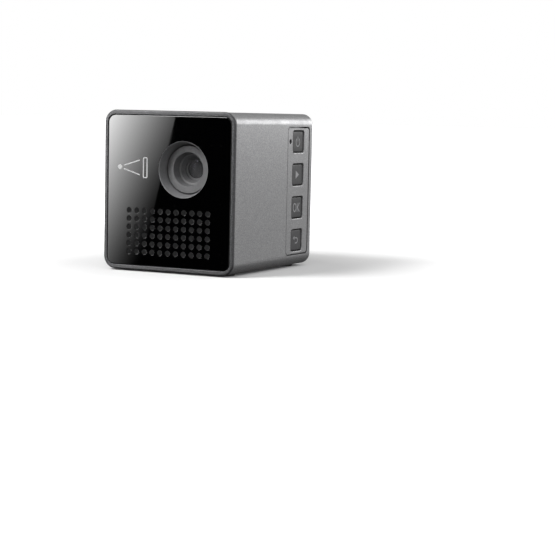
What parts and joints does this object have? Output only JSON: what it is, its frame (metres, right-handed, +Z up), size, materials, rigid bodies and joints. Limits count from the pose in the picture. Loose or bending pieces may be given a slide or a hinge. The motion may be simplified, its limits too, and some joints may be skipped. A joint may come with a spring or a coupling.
{
  "type": "home projector",
  "caption": "Palm-sized cube projector with a black glass front, recessed lens over a dot grille, and a strip of keys on its right side.",
  "frame": {"origin": "on the surface it stands on, under the middle of the case", "axes": "+Z up, -Y out of the lens, +X towards the key side"},
  "size_m": [0.0472, 0.055, 0.0504],
  "materials": {
    "body_paint": "gun-metal metallic paint, satin",
    "bezel_paint": "darker grey metallic paint, satin",
    "panel_black": "piano-black gloss",
    "black_plastic": "matte black",
    "lens_black": "satin dark grey",
    "key_grey": "satin grey",
    "rubber": "matte",
    "steel": "plain",
    "aluminium": "machined",
    "copper": "copper, plain",
    "brass": "turned",
    "board": "green solder mask",
    "chip": "matte black",
    "foil": "foil-wrapped cell",
    "optical_glass": "coated",
    "cable": "polyimide film"
  },
  "bodies": {
    "case": {"body_sleeve": "body_paint", "key_panel": "body_paint", "front_bezel": "bezel_paint", "front_panel": "panel_black", "grille_mesh": "black_plastic", "rear_cover": "black_plastic", "status_light_pipe": "black_plastic", "lens_tube": "black_plastic", "fan_frame": "black_plastic", "av_jack": "black_plastic", "battery_tray": "black_plastic", "speaker_frame": "black_plastic", "key_switch_power": "black_plastic", "key_switch_play": "black_plastic", "key_switch_ok": "black_plastic", "key_switch_back": "black_plastic", "lens_trim_ring": "lens_black", "foot_front_left": "rubber", "foot_front_right": "rubber", "foot_rear_left": "rubber", "foot_rear_right": "rubber", "rear_screw_top_left": "steel", "rear_screw_top_right": "steel", "rear_screw_bottom_left": "steel", "rear_screw_bottom_right": "steel", "focus_wheel_axle": "steel", "engine_bracket": "steel", "processor_shield": "steel", "usb_socket": "steel", "video_socket": "steel", "card_socket": "steel", "engine_housing": "aluminium", "engine_lid": "aluminium", "heatsink": "aluminium", "heat_spreader": "copper", "tripod_insert": "brass", "key_board": "board", "micromirror_board": "board", "main_board": "board", "micromirror_chip": "chip", "battery": "foil", "led_module_green": "foil", "led_module_red_blue": "foil", "speaker_diaphragm": "foil", "relay_prism": "optical_glass", "condenser_lens": "optical_glass", "dichroic_plate": "optical_glass", "micromirror_flex": "cable", "battery_lead": "cable"},
    "key_power_body": {"key_power": "key_grey"},
    "key_play_body": {"key_play": "key_grey"},
    "key_ok_body": {"key_ok": "key_grey"},
    "key_back_body": {"key_back": "key_grey"},
    "focus_wheel_body": {"focus_wheel": "rubber"},
    "focus_ring_body": {"focus_ring": "black_plastic"},
    "barrel_body": {"lens_barrel": "lens_black", "front_lens": "optical_glass", "rear_lens": "optical_glass"},
    "fan_body": {"fan_rotor": "black_plastic"}
  },
  "joints": [
    {"name": "key_power_press", "type": "slide", "parent": "case", "child": "key_power_body", "axis": [-1, 0, 0], "range_m": [0, 0.0003], "stiffness_N_per_m": 800},
    {"name": "key_play_press", "type": "slide", "parent": "case", "child": "key_play_body", "axis": [-1, 0, 0], "range_m": [0, 0.0003], "stiffness_N_per_m": 800},
    {"name": "key_ok_press", "type": "slide", "parent": "case", "child": "key_ok_body", "axis": [-1, 0, 0], "range_m": [0, 0.0003], "stiffness_N_per_m": 800},
    {"name": "key_back_press", "type": "slide", "parent": "case", "child": "key_back_body", "axis": [-1, 0, 0], "range_m": [0, 0.0003], "stiffness_N_per_m": 800},
    {"name": "focus_wheel_turn", "type": "hinge", "parent": "case", "child": "focus_wheel_body", "pos_m": [-0.0134, -0.0164, 0.0324], "axis": [0, 1, 0], "range_deg": [-60, 60]},
    {"name": "focus_ring_turn", "type": "hinge", "parent": "case", "child": "focus_ring_body", "pos_m": [0.0051, -0.01975, 0.0324], "axis": [0, 1, 0], "range_deg": [-41, 41]},
    {"name": "lens_barrel_slide", "type": "slide", "parent": "case", "child": "barrel_body", "axis": [0, -1, 0], "range_m": [-0.0006, 0.0006]},
    {"name": "fan_spin", "type": "hinge", "parent": "case", "child": "fan_body", "pos_m": [0.004, 0.0207, 0.0318], "axis": [0, 1, 0], "continuous": true}
  ],
  "couplings": [
    {"joint": "focus_wheel_turn", "follows": "lens_barrel_slide", "rad_per_m": 1745.3},
    {"joint": "focus_ring_turn", "follows": "lens_barrel_slide", "rad_per_m": -1190}
  ]
}
